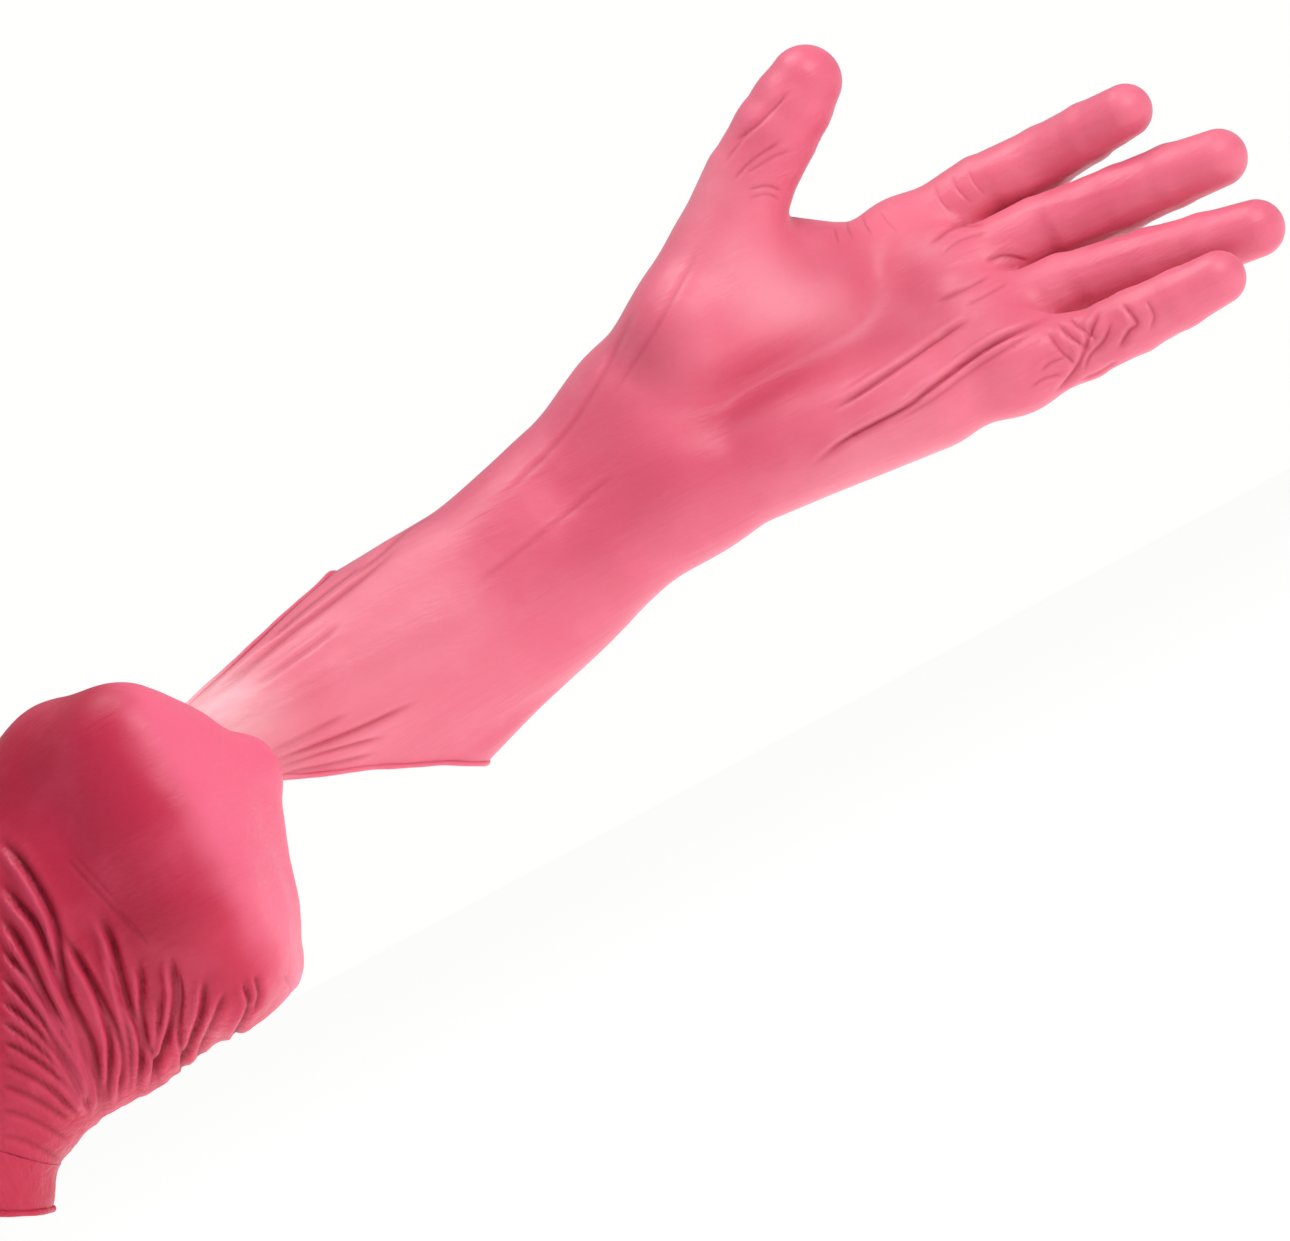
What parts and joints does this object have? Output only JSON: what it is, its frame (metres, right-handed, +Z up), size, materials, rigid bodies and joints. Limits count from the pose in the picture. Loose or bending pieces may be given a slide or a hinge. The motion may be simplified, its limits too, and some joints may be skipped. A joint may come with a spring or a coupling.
{
  "type": "rubber gloves",
  "caption": "Pair of pink stretch rubber gloves, hollow and shaped as worn: an open hand, and a fist that pulls back its long cuff. Fingers, thumbs and wrists flex.",
  "frame": {"origin": "middle of the left wrist, on the axis of the forearm", "axes": "+X from the left wrist to the left fingertips, +Y away from the viewer, +Z up past the left thumb"},
  "size_m": [0.4548, 0.157, 0.1774],
  "materials": {
    "left_film": "satin stretched film",
    "left_bead": "satin rolled rim",
    "right_film": "satin film, wrinkled",
    "right_bead": "satin rolled rim"
  },
  "bodies": {
    "left_cuff": {"left_sleeve": "left_film", "left_cuff_bead": "left_bead"},
    "left_hand": {"left_palm_shell": "left_film", "left_knuckle_shell": "left_film"},
    "left_thumb_root": {"left_thumb_base": "left_film"},
    "left_thumb_end": {"left_thumb_tip": "left_film"},
    "left_index_root": {"left_index_base": "left_film"},
    "left_index_end": {"left_index_tip": "left_film"},
    "left_middle_root": {"left_middle_base": "left_film"},
    "left_middle_end": {"left_middle_tip": "left_film"},
    "left_ring_root": {"left_ring_base": "left_film"},
    "left_ring_end": {"left_ring_tip": "left_film"},
    "left_little_root": {"left_little_base": "left_film"},
    "left_little_end": {"left_little_tip": "left_film"},
    "right_hand": {"right_palm_shell": "right_film", "right_knuckle_shell": "right_film"},
    "right_cuff": {"right_sleeve": "right_film", "right_cuff_bead": "right_bead"},
    "right_thumb_root": {"right_thumb_base": "right_film"},
    "right_thumb_end": {"right_thumb_tip": "right_film"},
    "right_index_root": {"right_index_base": "right_film"},
    "right_index_end": {"right_index_tip": "right_film"},
    "right_middle_root": {"right_middle_base": "right_film"},
    "right_middle_end": {"right_middle_tip": "right_film"},
    "right_ring_root": {"right_ring_base": "right_film"},
    "right_ring_end": {"right_ring_tip": "right_film"},
    "right_little_root": {"right_little_base": "right_film"},
    "right_little_end": {"right_little_tip": "right_film"}
  },
  "joints": [
    {"name": "left_wrist_flex", "type": "hinge", "parent": "left_cuff", "child": "left_hand", "pos_m": [0, -0.01897, 0.0154], "axis": [0, -0.6303, -0.7763], "range_deg": [0, 30], "stiffness_Nm_per_rad": 0.6},
    {"name": "left_thumb_root_flex", "type": "hinge", "parent": "left_hand", "child": "left_thumb_root", "pos_m": [0.06, -0.01869, 0.04493], "axis": [0.5221, 0.7087, -0.4746], "range_deg": [0, 18], "stiffness_Nm_per_rad": 0.02},
    {"name": "left_thumb_end_flex", "type": "hinge", "parent": "left_thumb_root", "child": "left_thumb_end", "pos_m": [0.07093, -0.02095, 0.05273], "axis": [0.4638, 0.7218, -0.5138], "range_deg": [0, 30], "stiffness_Nm_per_rad": 0.015},
    {"name": "left_index_root_flex", "type": "hinge", "parent": "left_hand", "child": "left_index_root", "pos_m": [0.10707, 0.00743, 0.02914], "axis": [0.0111, -0.6323, -0.7747], "range_deg": [0, 60], "stiffness_Nm_per_rad": 0.02},
    {"name": "left_index_end_flex", "type": "hinge", "parent": "left_index_root", "child": "left_index_end", "pos_m": [0.12519, 0.00133, 0.02792], "axis": [-0.2881, -0.4992, -0.8172], "range_deg": [0, 75], "stiffness_Nm_per_rad": 0.015},
    {"name": "left_middle_root_flex", "type": "hinge", "parent": "left_hand", "child": "left_middle_root", "pos_m": [0.11509, -0.00475, 0.01179], "axis": [-0.0496, -0.6237, -0.7801], "range_deg": [0, 15], "stiffness_Nm_per_rad": 0.02},
    {"name": "left_middle_end_flex", "type": "hinge", "parent": "left_middle_root", "child": "left_middle_end", "pos_m": [0.13752, -0.01503, 0.00871], "axis": [-0.3309, -0.5094, -0.7944], "range_deg": [0, 75], "stiffness_Nm_per_rad": 0.015},
    {"name": "left_ring_root_flex", "type": "hinge", "parent": "left_hand", "child": "left_ring_root", "pos_m": [0.1138, -0.01647, -0.00493], "axis": [-0.0503, -0.6247, -0.7793], "range_deg": [0, 40], "stiffness_Nm_per_rad": 0.02},
    {"name": "left_ring_end_flex", "type": "hinge", "parent": "left_ring_root", "child": "left_ring_end", "pos_m": [0.13639, -0.02411, -0.00973], "axis": [-0.3593, -0.5377, -0.7627], "range_deg": [0, 75], "stiffness_Nm_per_rad": 0.015},
    {"name": "left_little_root_flex", "type": "hinge", "parent": "left_hand", "child": "left_little_root", "pos_m": [0.11166, -0.03022, -0.02074], "axis": [-0.2849, -0.6104, -0.7391], "range_deg": [0, 60], "stiffness_Nm_per_rad": 0.02},
    {"name": "left_little_end_flex", "type": "hinge", "parent": "left_little_root", "child": "left_little_end", "pos_m": [0.12333, -0.03659, -0.02205], "axis": [-0.2717, -0.5378, -0.7981], "range_deg": [0, 75], "stiffness_Nm_per_rad": 0.015},
    {"name": "right_glove_pull", "type": "slide", "parent": "left_cuff", "child": "right_hand", "axis": [-0.9056, -0.4239, 0.0165], "range_m": [0, 0.03], "stiffness_N_per_m": 60},
    {"name": "right_wrist_flex", "type": "hinge", "parent": "right_hand", "child": "right_cuff", "pos_m": [-0.2173, -0.0671, -0.0513], "axis": [0.6588, 0, -0.7523], "range_deg": [0, 30], "stiffness_Nm_per_rad": 0.15},
    {"name": "right_thumb_root_open", "type": "hinge", "parent": "right_hand", "child": "right_thumb_root", "pos_m": [-0.18299, -0.04902, -0.00206], "axis": [-0.3577, 0.3483, -0.8664], "range_deg": [-20, 0], "stiffness_Nm_per_rad": 0.02},
    {"name": "right_thumb_end_open", "type": "hinge", "parent": "right_thumb_root", "child": "right_thumb_end", "pos_m": [-0.17234, -0.03907, -0.00215], "axis": [-0.3744, 0.333, -0.8654], "range_deg": [-20, 0], "stiffness_Nm_per_rad": 0.015},
    {"name": "right_index_root_open", "type": "hinge", "parent": "right_hand", "child": "right_index_root", "pos_m": [-0.13309, -0.0674, -0.02351], "axis": [0.2055, 0.0926, 0.9743], "range_deg": [-4, 0], "stiffness_Nm_per_rad": 0.02},
    {"name": "right_index_end_open", "type": "hinge", "parent": "right_index_root", "child": "right_index_end", "pos_m": [-0.14645, -0.05818, -0.02188], "axis": [0.2308, 0.1106, 0.9667], "range_deg": [-5, 0], "stiffness_Nm_per_rad": 0.015},
    {"name": "right_middle_root_open", "type": "hinge", "parent": "right_hand", "child": "right_middle_root", "pos_m": [-0.14178, -0.06836, -0.03849], "axis": [0.1531, 0.1337, 0.9791], "range_deg": [-40, 0], "stiffness_Nm_per_rad": 0.02},
    {"name": "right_middle_end_open", "type": "hinge", "parent": "right_middle_root", "child": "right_middle_end", "pos_m": [-0.15731, -0.05791, -0.0376], "axis": [0.1934, 0.1257, 0.973], "range_deg": [-70, 0], "stiffness_Nm_per_rad": 0.015},
    {"name": "right_ring_root_open", "type": "hinge", "parent": "right_hand", "child": "right_ring_root", "pos_m": [-0.14585, -0.06817, -0.05548], "axis": [0.0912, 0.1895, 0.9776], "range_deg": [-40, 0], "stiffness_Nm_per_rad": 0.02},
    {"name": "right_ring_end_open", "type": "hinge", "parent": "right_ring_root", "child": "right_ring_end", "pos_m": [-0.16145, -0.05614, -0.0561], "axis": [0.1176, 0.1404, 0.9831], "range_deg": [-70, 0], "stiffness_Nm_per_rad": 0.015},
    {"name": "right_little_root_open", "type": "hinge", "parent": "right_hand", "child": "right_little_root", "pos_m": [-0.15068, -0.0653, -0.07175], "axis": [-0.0178, 0.307, 0.9515], "range_deg": [-40, 0], "stiffness_Nm_per_rad": 0.02},
    {"name": "right_little_end_open", "type": "hinge", "parent": "right_little_root", "child": "right_little_end", "pos_m": [-0.1644, -0.05295, -0.0739], "axis": [-0.0054, 0.1835, 0.983], "range_deg": [-70, 0], "stiffness_Nm_per_rad": 0.015}
  ]
}
